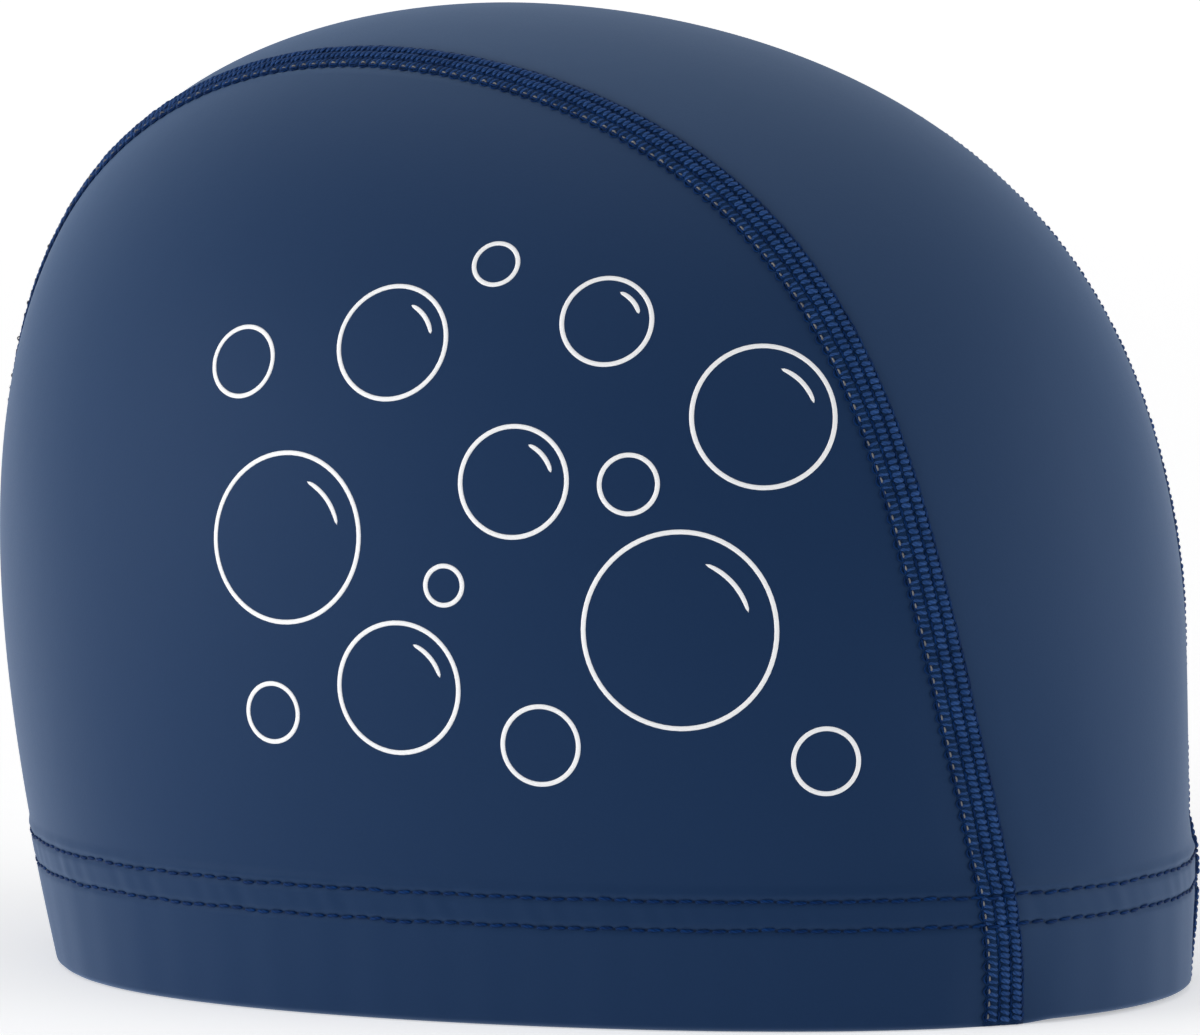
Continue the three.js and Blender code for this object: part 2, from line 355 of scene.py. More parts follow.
class Recipe:
    """A material under construction: 'node' adds a node and joins its inputs by name."""

    def __init__(self, name):
        self.material = bpy.data.materials.new(name)
        self.material.use_nodes = True
        self.nodes = self.material.node_tree.nodes
        self.links = self.material.node_tree.links
        self.shader = self.nodes["Principled BSDF"]
        self.object = self.nodes.new("ShaderNodeTexCoord").outputs["Object"]

    def put(self, socket, value):
        if isinstance(value, bpy.types.NodeSocket):
            self.links.new(value, socket)
        else:
            socket.default_value = value

    def node(self, kind, output=0, inputs=(), **settings):
        made = self.nodes.new("ShaderNode" + kind)
        for key, value in settings.items():
            setattr(made, key, value)
        for key, value in dict(inputs).items():
            self.put(made.inputs[key], value)
        return made.outputs[output]

    def math(self, operation, *values):
        return self.node("Math", inputs=dict(enumerate(values)), operation=operation)

    def noise(self, scale, detail=2.0, roughness=0.5):
        inputs = {"Vector": self.object, "Scale": scale, "Detail": detail, "Roughness": roughness}
        return self.node("TexNoise", inputs=inputs)

    def blend(self, share, first, second):
        inputs = {0: share, 6: (*first, 1) if isinstance(first, tuple) else first}
        inputs[7] = (*second, 1) if isinstance(second, tuple) else second
        return self.node("Mix", output=2, inputs=inputs, data_type="RGBA")

    def attribute(self, name):
        return self.node("Attribute", output="Fac", attribute_name=name)

    def bump(self, height, distance, strength=1.0, under=None):
        inputs = {"Height": height, "Distance": distance, "Strength": strength}
        if under is not None:
            inputs["Normal"] = under
        return self.node("Bump", inputs=inputs)

    def finish(self, **inputs):
        for key, value in inputs.items():
            self.put(self.shader.inputs[key.replace("_", " ")], value)
        return self.material


def coated_cloth(name, haze, sheen):
    """Navy satin: fine grain, slow changes of colour, and painted shade as dark spots at the needle
    holes in two rows. The sheen says how much light the yarn catches, and the haze how widely it
    spreads that light."""
    cloth = Recipe(name)
    grain = cloth.noise(2600.0, detail=3.0, roughness=0.6)
    wander = cloth.noise(14.0, detail=3.0)
    colour = cloth.blend(wander, (0.0022, 0.015, 0.053), (0.003, 0.018, 0.062))
    colour = cloth.blend(cloth.math("MULTIPLY", grain, 0.5), colour, (0.0055, 0.0245, 0.078))
    along = cloth.math("DIVIDE", cloth.attribute("along_rim"), RIM_STITCH)
    from_hole = cloth.math("MULTIPLY", cloth.math("PINGPONG", along, 0.5), RIM_STITCH)
    holes = []
    for row in NEEDLE_ROWS:
        above = cloth.math("SUBTRACT", cloth.attribute("above_rim"), row)
        squares = [cloth.math("MULTIPLY", side, side) for side in (from_hole, above)]
        distance = cloth.math("SQRT", cloth.math("ADD", *squares))
        range_inputs = {"Value": distance, 1: HOLE_RIM, 2: HOLE_EDGE, 3: 1.0, 4: 0.0}
        holes.append(cloth.node("MapRange", inputs=range_inputs, interpolation_type="SMOOTHSTEP"))
    hole = cloth.math("MAXIMUM", *holes)
    # Painted shade: near each needle hole the cloth's colour goes to near black.
    colour = cloth.blend(hole, colour, (0.0008, 0.004, 0.02))
    slow = cloth.bump(cloth.noise(60.0, detail=3.0), 0.25 * MM, 0.35)
    fine = cloth.bump(grain, 0.02 * MM, 0.6, under=slow)
    rough = cloth.node("MapRange", inputs={"Value": grain, 3: 0.42, 4: 0.56})
    return cloth.finish(
        Base_Color=colour,
        Roughness=rough,
        Normal=fine,
        Sheen_Weight=sheen,
        Sheen_Roughness=haze,
        Sheen_Tint=BLUISH,
        Specular_Tint=BLUISH,
        IOR=1.2,
    )


SIDE_FINISH = coated_cloth("side_cloth", haze=0.57, sheen=0.37)
STRIP_FINISH = coated_cloth("strip_cloth", haze=0.68, sheen=0.325)
print("Cloth material:", len(SIDE_FINISH.node_tree.nodes), "nodes")

# %% [markdown]
# ## Measuring along the rim
# The hem stitches repeat every two and a half millimetres all the way round. To place them, the rim
# needs a tape measure: the length of a ring of cloth from the left ear to any angle round the head.
#
# Cloth on a head is not quite smooth. Doubled cloth stands out, stitches pull it in, and a tight
# seam draws it in above the hem and makes a low crest over the forehead. A sculpted relief would be
# hard to repeat. Here each of these is a small height over the smooth cap, and they are added up.

# %% A tape measure round the hem, and the relief of the hem
TAPE_HEIGHT = 18 * MM
TAPE_ANGLES = np.linspace(0, 2 * np.pi, 7201)
tape_steps = np.diff(on_ring(TAPE_HEIGHT, TAPE_ANGLES), axis=0)
TAPE = np.concatenate([[0], np.cumsum(np.linalg.norm(tape_steps, axis=1))])
RIM_STITCHES = round(TAPE[-1] / RIM_STITCH)
print("Round the hem:", round(TAPE[-1] / MM), "mm,", RIM_STITCHES, "stitches in each row")


def along_rim(angle):
    """The length of hem from the left ear to an angle, stretched by a hair so that a whole number
    of stitches fits."""
    length = np.interp(np.mod(angle, 2 * np.pi), TAPE_ANGLES, TAPE)
    return length * RIM_STITCHES * RIM_STITCH / TAPE[-1]


def ease(low, high, value):
    """0 up to low, 1 from high on, and a smooth step between."""
    share = np.clip((value - low) / (high - low), 0, 1)
    return share**2 * (3 - 2 * share)


def ripple(length, waves, seed):
    """A slow, uneven wave round the rim between about -1 and 1: a sum of cosines whose counts
    round the head are whole numbers, with seeded phases."""
    phases = np.random.default_rng(seed).uniform(0, 2 * np.pi, len(waves))
    turn = 2 * np.pi * length[..., None] / (RIM_STITCHES * RIM_STITCH)
    return np.cos(turn * np.array(waves) + phases).sum(axis=-1) / np.sqrt(len(waves))


def seam_ends_along_rim(line):
    """Where the four ends of a line and of its mirror image lie along the rim."""
    left = np.array(end_angles(line, TAPE_HEIGHT))
    return along_rim(np.concatenate([left, np.pi - left]))


SEAM_ENDS = seam_ends_along_rim(seam_line)


def from_seam_end(length):
    """The distance along the rim from the nearest end of a seam."""
    return np.abs(length[..., None] - SEAM_ENDS).min(axis=-1)


HEM_MIDDLE = sum(NEEDLE_ROWS) / 2
HEM_RAISE = 0.3 * MM  # how far the doubled cloth stands out
GROOVE = 0.32 * MM  # how deep the stitches pull the cloth in
GROOVE_REACH = 0.6 * MM
PUCKER = 0.035 * MM  # how high the creases between the needle rows are
PUCKER_REACH = 2.8 * MM
RIM_DRAW = 0.9 * MM  # how far the seam's end pulls the rim in
RIM_DRAW_TOP = 16 * MM  # the height from which a seam's end leaves the cloth alone
CREST = 0.6 * MM  # how far a seam's thick joint lifts the cloth over the forehead
CREST_REACH = 10 * MM
NECK = 1.25 * MM  # how far the cloth draws in above the hem, at the lower end of a seam
NECK_WIDE, NECK_NARROW = 26 * MM, 8 * MM


def hem_relief(z, length):
    """How far the outer face is moved out near the rim: raised where the cloth is double, pulled
    in along each needle row, puckered aslant between the rows, and drawn in where a seam ends."""
    raised = HEM_RAISE * (1 - ease(HEM_HEIGHT - 0.2 * MM, HEM_HEIGHT + 1.3 * MM, z))
    uneven = 1 + 0.15 * ripple(length, [17, 31, 58], seed=1)
    relief = raised * uneven
    for row in NEEDLE_ROWS:
        relief = relief - GROOVE * np.exp(-(((z - row) / GROOVE_REACH) ** 2))
    above = z - HEM_MIDDLE
    creases = ripple(length + 0.4 * above, [83, 117, 146], seed=2)
    relief = relief + PUCKER * creases * np.exp(-((above / PUCKER_REACH) ** 2))
    seam_end = 1 - ease(1.5 * MM, 10 * MM, from_seam_end(length))
    return relief - RIM_DRAW * seam_end * (1 - ease(0, RIM_DRAW_TOP, z))


def seam_relief(points):
    """How far a seam moves the whole cloth on the front half: out by a crest that fades as an
    exponential of the distance, and in above the hem by a wide hollow with a narrow one in it."""
    z, distance = points[..., 2], from_seam(points)
    crest = CREST * ease(45 * MM, 75 * MM, z) * np.exp(-distance / CREST_REACH)
    wide, narrow = (1 - ease(0, reach, distance) for reach in (NECK_WIDE, NECK_NARROW))
    level = ease(HEM_HEIGHT - MM, HEM_HEIGHT + 6 * MM, z) * (1 - ease(38 * MM, 64 * MM, z))
    neck = NECK * level * (0.65 * wide + 0.35 * narrow)
    front_half = 1 - ease(np.radians(75), np.radians(115), turn_of(points))
    return (crest - neck) * front_half

# %% [markdown]
# ## The panels
# At the rim the cloth turns up inside and is stitched down, so the hem is two layers thick with a
# round fold below. A flat sheet with a Solidify modifier would give one even thickness and a sharp
# rim. Here each panel is a closed wall instead: an outer face and an inner face, row by row, which
# meet in the fold, with the cut edge of the turned-up layer as a small step inside.

# %% The rows of the hem
CUT = 0.5 * MM  # from the seam line to the edge of a panel, under the band
FOOT = 24 * MM  # the height from which a panel's rows climb to the seam
LEVEL_TOP = HEM_HEIGHT + 14 * MM  # the height up to which the cloth's thickness lies level
RIM_LIFT = 0.45 * MM  # how much higher the strip's rim is than the ends of the seams

fold_turn = np.linspace(0, np.pi / 2, 7)
hem_heights = np.concatenate(
    [
        CLOTH * (1 - np.cos(fold_turn)),
        np.linspace(2, 13, 8) * MM,
        np.linspace(13.8, 21, 25) * MM,
        np.linspace(21.2, 21.5, 3) * MM,
        np.linspace(21.6, 24, 6) * MM,
    ]
)
above_fold = len(hem_heights) - len(fold_turn)
folded = np.concatenate([np.sin(fold_turn), np.ones(above_fold)])  # 0 at the bottom of the fold
turned_up = np.sqrt(1 - ease(HEM_HEIGHT - 0.4 * MM, HEM_HEIGHT + 0.05 * MM, hem_heights) ** 2)


def angle_of(points):
    """The angle round the head of points anywhere on the cap."""
    side, _, _ = reaches(points[..., 2])
    sine = ring_sine(points[..., 1], points[..., 2])
    return np.arctan2(sine, points[..., 0] / np.maximum(side, MM))


def wall(points, folded, inner_depth, rim_lift=0):
    """A closed wall of cloth from rows of points of its outer face. The outer face is moved out by
    the relief, and the inner face is moved in by its depth; both meet where 'folded' is zero, and
    stand level in the hem. The rim is lifted away from the seams' ends. A column of the mesh runs
    down the outer face and up the inner one."""
    length = along_rim(angle_of(points))
    lift = rim_lift * ease(3 * MM, 10 * MM, from_seam_end(length))
    z = points[..., 2] + lift * (1 - ease(0, RIM_DRAW_TOP, points[..., 2]))
    out = outward(points)
    out[..., 2] *= ease(HEM_HEIGHT, LEVEL_TOP, points[..., 2])
    out = unit(out)
    points = np.stack([points[..., 0], points[..., 1], z], axis=-1)
    points = points + out * seam_relief(points)[..., None]
    relief = hem_relief(z, length)
    outer = points + out * (CLOTH * (folded - 1) + relief * folded)[..., None]
    inner = points - out * (inner_depth + 0 * z)[..., None]
    rows, columns = z.shape
    loop = np.concatenate([outer[::-1], inner, outer[-1:]]).transpose(1, 0, 2)
    tube = grid_faces(columns, 2 * rows + 1)
    i = np.arange(rows - 1)
    first = np.stack([i + 1, i, 2 * rows - 1 - i, 2 * rows - 2 - i], axis=-1)
    last = first[:, [1, 0, 3, 2]] + (columns - 1) * (2 * rows + 1)
    marks = [np.concatenate([v[::-1], v, v[-1:]]).T for v in (length, z)]
    return loop, np.concatenate([tube, first, last]), dict(along_rim=marks[0], above_rim=marks[1])


def even_angles(low, high, count):
    """Angles between two ends, evenly spaced over the cloth at the height of the tape."""
    angles = np.linspace(low, high, 2001)
    steps = np.linalg.norm(np.diff(on_ring(TAPE_HEIGHT, angles), axis=0), axis=1)
    length = np.concatenate([[0], np.cumsum(steps)])
    return np.interp(np.linspace(0, length[-1], count), length, angles)


def even_turns(line, low, high, count):
    """Turns between two ends, evenly spaced along a line beside the seam."""
    length = np.concatenate([[0], np.cumsum(np.linalg.norm(np.diff(line, axis=0), axis=1))])
    ends = np.interp([low, high], TURNS, length)
    return np.interp(np.linspace(*ends, count), length, TURNS)


def line_at(line, turn):
    """The points of a line beside the seam at some turns."""
    return np.stack([np.interp(turn, TURNS, line[:, k]) for k in range(3)], axis=-1)


# %% The two side panels
SIDE_COLUMNS, SIDE_ROWS = 381, 56


def side_panel(side):
    """Rows of the hem from seam to seam, then rows that climb from the hem to the seam above. The
    side is 1 on the left and -1 on the right."""
    edge = beside_seam(CUT)
    front, back = end_angles(edge, hem_heights)
    foot = even_angles(front[-1], back[-1], SIDE_COLUMNS)
    share = (foot - foot[0]) / (foot[-1] - foot[0])
    hem_angle = front[:, None] + (back - front)[:, None] * share
    turns = even_turns(edge, *turns_at(edge, FOOT), SIDE_COLUMNS)
    seam_edge = line_at(edge, turns)
    up = np.linspace(0, 1, SIDE_ROWS + 1)[1:, None]
    z = FOOT + (seam_edge[:, 2] - FOOT) * up
    angle = foot + (ring_angle(seam_edge) - foot) * up
    angle = np.concatenate([hem_angle, angle])
    z = np.concatenate([np.broadcast_to(hem_heights[:, None], hem_angle.shape), z])
    points = on_ring(z, angle if side > 0 else np.pi - angle)
    upper = np.ones(SIDE_ROWS)
    depth = CLOTH * (1 + np.concatenate([folded * turned_up, 0 * upper]))
    return wall(points, np.concatenate([folded, upper])[:, None], depth[:, None])


for side, word in ((1, "left"), (-1, "right")):
    side_points, faces, marks = side_panel(side)
    name = f"side_cloth_{word}"
    panel = new_piece(name, "coated_cloth", SIDE_FINISH, side_points, faces, **marks)
    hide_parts(f"side_panel_{word}")

# %% The centre strip
CENTRE_COLUMNS, CENTRE_ROWS = 121, 200


def centre_panel():
    """Rows across the strip, from the forehead rim over the crown to the nape rim. In the hem a
    row lies at one height, and above it at one turn."""
    edge = beside_seam(-CUT)
    across = np.linspace(-1, 1, CENTRE_COLUMNS)
    hems = []
    for end, angle in zip((-1, 1), end_angles(edge, hem_heights)):
        angle = end * np.arccos(across * np.cos(angle)[:, None])
        hems.append(on_ring(hem_heights[:, None], angle))
    turns = even_turns(edge, *turns_at(edge, FOOT), CENTRE_ROWS + 2)[1:-1]
    arch = on_arch(turns[:, None], across * line_at(edge, turns)[:, :1])
    points = np.concatenate([hems[0], arch, hems[1][::-1]])
    upper = np.ones(CENTRE_ROWS)
    depth = CLOTH * (1 + folded * turned_up)
    depth = np.concatenate([depth, CLOTH * upper, depth[::-1]])
    closed = np.concatenate([folded, upper, folded[::-1]])
    return wall(points, closed[:, None], depth[:, None], RIM_LIFT)


centre_points, faces, marks = centre_panel()
panel = new_piece("centre_cloth", "coated_cloth", STRIP_FINISH, centre_points, faces, **marks)
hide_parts("centre_panel")

# %% [markdown]
# ## The seams
# The panels meet edge to edge and are joined by a flatlock machine. Its four needles lay four
# lines of stitches, and a cover thread runs to and fro between them, so the joint disappears under
# a band of three columns of short plump rungs. A striped texture would look flat at the silhouette,
# where each rung shows as a bump. So every rung is a real thread here, but one with few faces,
# because there are more than a thousand along each seam.

# %% Places on a seam band
SEAM_STITCH = 2 * MM
ACROSS = np.linspace(-4, 4, 33) * MM
lanes = np.stack([beside_seam(distance) for distance in ACROSS])
lanes_out = outward(lanes)
lanes_out[..., 2] *= ease(HEM_HEIGHT, LEVEL_TOP, lanes[..., 2])
lanes_out = unit(lanes_out)
lanes_length = along_rim(angle_of(lanes))
lanes = lanes + lanes_out * seam_relief(lanes)[..., None]
lanes_face = lanes + lanes_out * hem_relief(lanes[..., 2], lanes_length)[..., None]
lanes_depth = CLOTH * (2 - ease(HEM_HEIGHT - 0.5 * MM, HEM_HEIGHT + 2 * MM, lanes[..., 2]))


def read_lanes(table, run, across):
    """The value of a table of the lanes at distances along and across the seam, between its four
    nearest entries."""
    column = np.interp(run, seam_run, np.arange(len(TURNS)))
    row = np.interp(across, ACROSS, np.arange(len(ACROSS)))
    column0 = np.minimum(column.astype(int), len(TURNS) - 2)
    row0 = np.minimum(row.astype(int), len(ACROSS) - 2)
    u, v = column - column0, row - row0
    if table.ndim == 3:
        u, v = u[..., None], v[..., None]
    low = table[row0, column0] * (1 - u) + table[row0, column0 + 1] * u
    high = table[row0 + 1, column0] * (1 - u) + table[row0 + 1, column0 + 1] * u
    return low * (1 - v) + high * v


NIP_REACH = 0.9 * MM  # how near to a row of hem stitches the band is pressed in
FLARE_REACH = 2.5 * MM  # how near to the rim it spreads


def on_band(run, across, height, side, inside=False):
    """Points and outward directions on a seam. The height is over the outer face of the cloth, or
    under its inner face. The band is drawn in by the hem's stitches and spreads at the rim."""
    run, across, height = np.broadcast_arrays(run, across, height)
    z = read_lanes(lanes, run, across)[..., 2]
    nipped = sum(np.exp(-(((z - row) / NIP_REACH) ** 2)) for row in NEEDLE_ROWS)
    across = across * (1 - 0.05 * nipped + 0.07 * np.exp(-((z / FLARE_REACH) ** 2)))
    height = height * (1 - 0.45 * nipped)
    out = unit(read_lanes(lanes_out, run, across))
    if inside:
        depth = read_lanes(lanes_depth, run, across)
        points = read_lanes(lanes, run, across) - out * (depth + height)[..., None]
        out = -out
    else:
        points = read_lanes(lanes_face, run, across) + out * height[..., None]
    flip = np.array([side, 1, 1])
    return points * flip, out * flip


SEAM_MARGIN = 0.6 * MM  # from each rim to the first stitch
SEAM_STITCHES = round((seam_run[-1] - 2 * SEAM_MARGIN) / SEAM_STITCH)
stitch_runs = SEAM_MARGIN + (np.arange(SEAM_STITCHES) + 0.5) * SEAM_STITCH
print("Stitches in each seam line:", SEAM_STITCHES)


# %% Thread material
PLIES, PLY_PITCH = 3.0, 0.9 * MM


def sewing_thread(name, dark, light):
    """Filament yarn: three plies that wind round the thread as fine ridges. The colour is darker
    between them as painted shade and lighter on their crests as a painted highlight, with fine
    fibres and a slow change of colour from stitch to stitch."""
    yarn = Recipe(name)
    wound = yarn.math("MULTIPLY", yarn.attribute("round_thread"), PLIES)
    wound = yarn.math("ADD", wound, yarn.math("DIVIDE", yarn.attribute("along_thread"), PLY_PITCH))
    ply = yarn.math("ABSOLUTE", yarn.math("SINE", yarn.math("MULTIPLY", wound, math.pi)))
    fibres = yarn.noise(5200.0, detail=2.0)
    ridge = yarn.math("ADD", ply, yarn.math("MULTIPLY", fibres, 0.6))
    # Painted shade and highlight: the ply ridges set the colour, dark between the plies and light
    # on their crests, times a slow random tone.
    tone = yarn.math("MULTIPLY", ridge, yarn.noise(420.0, detail=1.0))
    return yarn.finish(
        Base_Color=yarn.blend(tone, dark, light),
        Roughness=0.5,
        Normal=yarn.bump(ridge, 0.05 * MM, 0.8),
        Sheen_Weight=0.05,
        Sheen_Roughness=0.4,
        Sheen_Tint=BLUISH,
        Specular_Tint=BLUISH,
        IOR=1.25,
    )


COVER_FINISH = sewing_thread("cover_thread", (0.004, 0.024, 0.095), (0.03, 0.084, 0.255))
# The bed thread is the seam's navy yarn, coloured darker still as painted shade in the gaps between
# the rungs.
BED_FINISH = sewing_thread("bed_thread", (0.0012, 0.01, 0.038), (0.006, 0.028, 0.09))
NEEDLE_FINISH = sewing_thread("needle_thread", (0.0002, 0.005, 0.034), (0.0008, 0.03, 0.135))
SPECK_FINISH = sewing_thread("pale_specks", (0.08, 0.085, 0.1), (0.26, 0.25, 0.24))

# %% [markdown]
# A rung leaves one needle line, rises over the joint and dives into the next, a little aslant. No
# two are quite alike, because the yarn is soft: the slant, the plumpness and the place of each one
# vary by a few hundredths of a millimetre, from a seeded random number generator.

# %% Rungs of the cover thread
COLUMNS = np.array([-1.87, 0, 1.87]) * MM
SIT_OUT = 1.03  # the outer columns sit this much further out than the middle between their needles
PLUMPNESS = [1, 0.95, 0.7]  # of each column: the one beside the side panel is the flattest
SLANTS = [0.22, 0.4]  # of the two rungs of a stitch, in millimetres
RUNG_HALF = 0.86 * MM
RUNG_WIDTH, RUNG_THICKNESS = 0.74 * MM, 0.42 * MM
RUNG_FOOT, RUNG_RISE = 0.3, 0.26  # height of its ends, and of its middle over them, in millimetres


def rungs(side, seed, inside=False):
    """Cover threads: for each column and each half stitch, a path across the column whose height
    is a half wave, with its ends in the needle lines."""
    random = np.random.default_rng(seed)
    runs = (stitch_runs[:, None] + np.array([-0.26, 0.26]) * SEAM_STITCH).ravel()
    middle_run, middle = np.meshgrid(runs, COLUMNS)
    plump = np.array(PLUMPNESS)[:, None] * random.normal(1, 0.06, middle.shape)
    count = middle.size
    slant = np.tile(SLANTS, SEAM_STITCHES) * MM + random.normal(0, 0.06 * MM, middle.shape)
    middle_run = middle_run + random.normal(0, 0.04 * MM, middle.shape)
    share = np.linspace(-1, 1, 5 if inside else 7)
    across = SIT_OUT * middle.reshape(count, 1) + share * RUNG_HALF
    run = middle_run.reshape(count, 1) + share * slant.reshape(count, 1)
    rise = RUNG_FOOT + RUNG_RISE * np.cos(share * np.pi / 2)
    height = rise * MM * plump.reshape(count, 1)
    paths, up = on_band(run, across, height, side, inside)
    width = RUNG_WIDTH * plump.reshape(count, 1)
    return threads(paths, up, width, RUNG_THICKNESS, sides=6 if inside else 8)


# %% Threads that run along the seam
NEEDLE_LINES = np.array([-2.8, -0.93, 0.93, 2.75]) * MM  # from the strip's side to the side panel's
BED_HALF = 3.1 * MM
RUN_STEPS = 1000


def line_stitches(side, across, length, width, height, seed, bow=0.0):
    """One thread a stitch along a line beside the seam, dipping at both ends. The bow swings its
    middle to the side, which makes a scalloped edge."""
    random = np.random.default_rng(seed)
    share = np.linspace(-1, 1, 7)
    run = stitch_runs[:, None] + share * length / 2
    wander = random.normal(0, 0.04 * MM, (SEAM_STITCHES, 1))
    across = across + bow * np.cos(share * np.pi / 2) ** 2 + wander
    rise = height * (0.35 + 0.65 * np.cos(share * np.pi / 2))
    paths, up = on_band(run, across, rise + 0 * run, side)
    return threads(paths, up, width, 0.8 * width, sides=6)


def joined(*sets):
    """Several sets of threads as one array of points, one of faces and their thread marks."""
    points, faces, marks, start = [], [], [], 0
    for some, corners, mark in sets:
        points.append(some.reshape(-1, 3))
        faces.append(corners + start)
        marks.append({key: value.reshape(-1) for key, value in mark.items()})
        start += len(points[-1])
    marks = {key: np.concatenate([mark[key] for mark in marks]) for key in marks[0]}
    return np.concatenate(points), np.concatenate(faces), marks


def padding(side, top, bottom, inside=False):
    """The bed of looped thread under the rungs: a closed strip with three low crowns, as a cosine
    squared, between the four needle lines."""
    run = np.linspace(0.1 * MM, seam_run[-1] - 0.1 * MM, RUN_STEPS)[:, None]
    across = np.concatenate([[-BED_HALF], np.linspace(-1.5, 1.5, 13) * COLUMNS[2], [BED_HALF]])
    crown = 0.35 + 0.65 * np.cos(np.pi * across / COLUMNS[2]) ** 2
    crown[[0, -1]] = 0
    loop = np.concatenate([across, across[::-1], across[:1]])
    height = np.concatenate([top * crown, 0 * across + bottom, [0]])
    points, _ = on_band(run, loop, height, side, inside)
    rows, columns = points.shape[:2]
    pairs = np.array([(i, i + 1, columns - 3 - i, columns - 2 - i) for i in range(len(across) - 1)])
    last = pairs + (rows - 1) * columns
    marks = dict(along_thread=2.6 * run + 0 * loop, round_thread=0 * run + loop / (2 * MM))
    return points, np.concatenate([grid_faces(rows, columns), pairs[:, ::-1], last]), marks


def seam(side, word):
    """All pieces of one seam, outside and inside."""
    seed = 10 if side > 0 else 20
    points, faces, marks = padding(side, 0.52 * MM, -0.4 * MM)
    bed = new_piece(f"seam_bed_{word}", "seam_thread", BED_FINISH, points, faces, **marks)
    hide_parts(f"seam_{word}")
    points, faces, marks = rungs(side, seed)
    new_piece(f"seam_cover_{word}", "seam_thread", COVER_FINISH, points, faces, **marks)
    lines = [
        line_stitches(side, across, 2.1 * MM, 0.4 * MM, 0.34 * MM, seed + 1 + k)
        for k, across in enumerate(NEEDLE_LINES)
    ]
    straight_edge = line_stitches(side, -3.05 * MM, 2.2 * MM, 0.32 * MM, 0.1 * MM, seed + 5)
    scallops = line_stitches(side, 2.8 * MM, 2.1 * MM, 0.3 * MM, 0.2 * MM, seed + 6, bow=0.6 * MM)
    points, faces, marks = joined(*lines, straight_edge, scallops)
    new_piece(f"seam_needle_{word}", "seam_thread", NEEDLE_FINISH, points, faces, **marks)
    # Pale grey specks along the scalloped edge, each a short thread at a seeded height over the
    # band.
    peep = np.random.default_rng(seed + 9).normal(0.56 * MM, 0.08 * MM, (SEAM_STITCHES, 1))
    specks = line_stitches(side, 2.6 * MM, 1.0 * MM, 0.3 * MM, peep, seed + 7)
    points, faces, marks = joined(specks)
    new_piece(f"seam_core_{word}", "seam_thread", SPECK_FINISH, points, faces, **marks)
    points, faces, marks = padding(side, 0.3 * MM, -0.3 * MM, inside=True)
    new_piece(f"seam_inner_bed_{word}", "seam_thread", BED_FINISH, points, faces, **marks)
    points, faces, marks = rungs(side, seed + 8, inside=True)
    new_piece(f"seam_inner_cover_{word}", "seam_thread", COVER_FINISH, points, faces, **marks)


seam(1, "left")
seam(-1, "right")

# %% [markdown]
# ## The hem's stitches
# Two needles sew the turned-up hem down. Outside, each leaves a row of short dashes of twisted
# thread, sunk in a groove with a small hole at each end, whose shade is painted on the cloth.
# Inside, a looper thread zigzags between the two rows. Both rows cross the seam bands, so the
# dashes there lie higher.

# %% The rows of the hem
rim_stitch_middles = (np.arange(RIM_STITCHES) + 0.5) * RIM_STITCH
HIGHEST, LOWEST = NEEDLE_ROWS
OVER_BAND = 0.36 * MM  # how much higher the stitches lie where they cross a seam
DASH_HALF = 1.12 * MM
DASH_WIDTH, DASH_THICKNESS = 0.54 * MM, 0.42 * MM
LOOPER_WIDTH, LOOPER_THICKNESS = 0.42 * MM, 0.34 * MM


def on_hem(length, z, height, inside=False):
    """Points and outward directions by the length along the rim and the height above it."""
    length, z, height = np.broadcast_arrays(length, z, height)
    angle = np.interp(length * TAPE[-1] / (RIM_STITCHES * RIM_STITCH), TAPE, TAPE_ANGLES)
    points = on_ring(z, angle)
    out = outward(points)
    out[..., 2] = 0
    out = unit(out)
    if inside:
        return points - out * (2 * CLOTH + height)[..., None], -out
    over_band = OVER_BAND * (1 - ease(2.4 * MM, 3.4 * MM, from_seam_end(length)))
    return points + out * (hem_relief(z, length) + height + over_band)[..., None], out


def hem_dashes(row, seed):
    """One thread a stitch: its height is a half wave and its ends dip into the holes. The row
    wanders in a slow wave, and each stitch slips and tilts a little."""
    random = np.random.default_rng(seed)
    share = np.linspace(-1, 1, 9)
    wave = 0.12 * MM * ripple(rim_stitch_middles, [23, 41, 67], seed + 5)[:, None]
    slip = wave + random.normal(0, 0.05 * MM, (RIM_STITCHES, 1))
    tilt = random.normal(0.06 * MM, 0.05 * MM, (RIM_STITCHES, 1))
    length = rim_stitch_middles[:, None] + share * DASH_HALF
    height = (0.04 + 0.18 * np.cos(share * np.pi / 2)) * MM
    paths, up = on_hem(length, row + slip + tilt * share, height)
    return threads(paths, up, DASH_WIDTH, DASH_THICKNESS, sides=8)


def hem_loopers(seed):
    """Two threads a stitch on the inner face, from row to row and back."""
    random = np.random.default_rng(seed)
    share = np.linspace(0, 1, 9)
    starts = np.repeat(rim_stitch_middles, 2)[:, None]
    rises = np.tile([1, -1], RIM_STITCHES)[:, None]
    length = starts + (share - 0.5) * RIM_STITCH / 2 + rises * RIM_STITCH / 4
    length = length + random.normal(0, 0.03 * MM, starts.shape)
    z = (HIGHEST + LOWEST) / 2 + rises * (share - 0.5) * (HIGHEST - LOWEST)
    paths, up = on_hem(length, z, 0.18 * MM, inside=True)
    return threads(paths, up, LOOPER_WIDTH, LOOPER_THICKNESS, sides=6)


for k, row in enumerate(NEEDLE_ROWS):
    points, faces, marks = joined(hem_dashes(row, seed=30 + k))
    new_piece(f"hem_stitches_{k + 1}", "seam_thread", NEEDLE_FINISH, points, faces, **marks)
points, faces, marks = joined(hem_loopers(seed=32))
new_piece("hem_loopers", "seam_thread", COVER_FINISH, points, faces, **marks)

